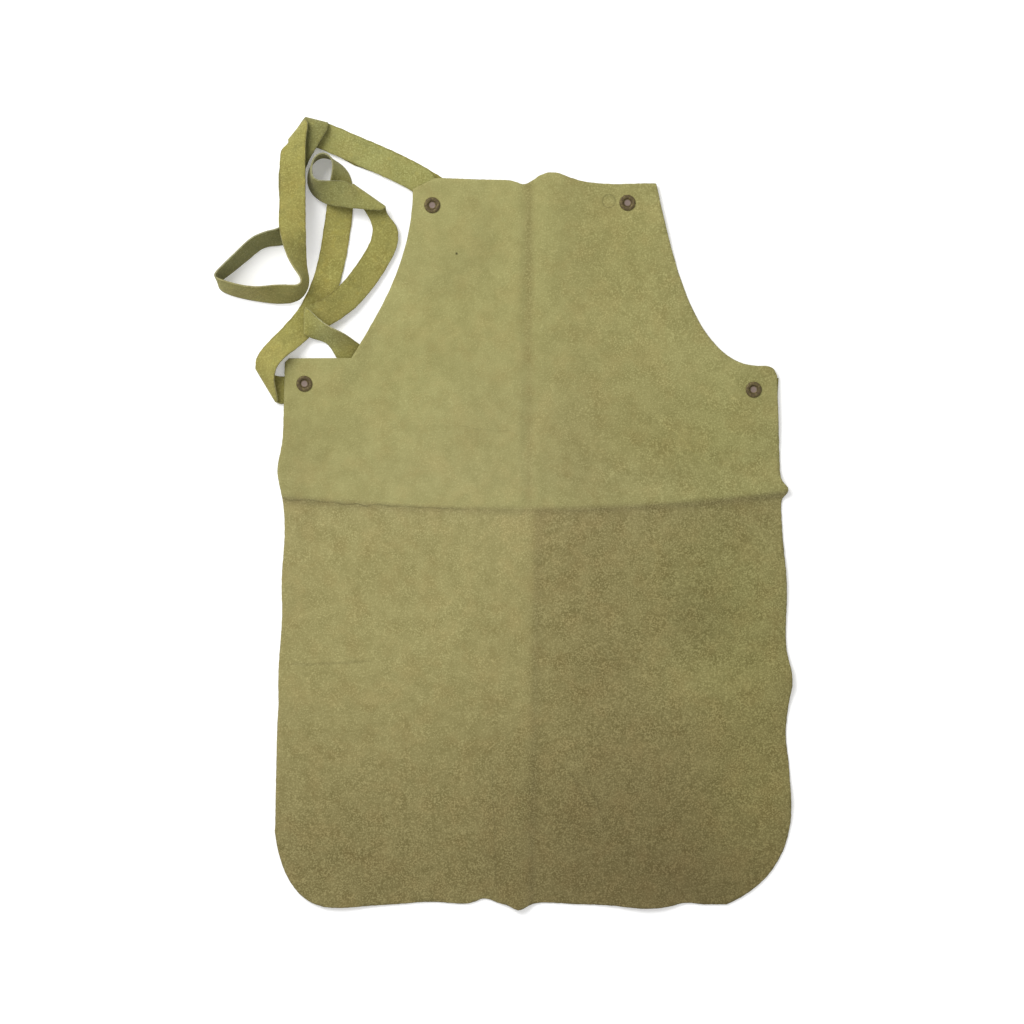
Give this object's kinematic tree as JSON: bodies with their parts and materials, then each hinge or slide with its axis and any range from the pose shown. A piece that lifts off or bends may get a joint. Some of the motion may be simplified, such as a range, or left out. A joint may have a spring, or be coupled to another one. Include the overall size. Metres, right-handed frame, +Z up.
{
  "type": "leather welding apron",
  "caption": "Split-leather welding apron with bib and skirt, lying flat, its riveted neck and waist straps bundled beside the bib.",
  "frame": {"origin": "middle of the whole apron's footprint, straps included, on the surface that it lies on", "axes": "+X to the right as seen from above with the neck away from the viewer, +Y from the hem to the neck, +Z up from the surface"},
  "size_m": [0.6896, 0.9444, 0.0403],
  "materials": {
    "suede": "napped olive split leather, matte, with storage creases",
    "strap_leather": "yellower split leather, matte, with pale raw cut edges",
    "aged_brass": "dark antique brass, worn brighter on the rolled rim"
  },
  "bodies": {
    "root": {"apron_panel": "suede", "neck_strap": "strap_leather", "waist_strap": "strap_leather", "rivet_bib_left": "aged_brass", "rivet_bib_right": "aged_brass", "rivet_waist_left": "aged_brass", "rivet_waist_right": "aged_brass"}
  },
  "joints": []
}
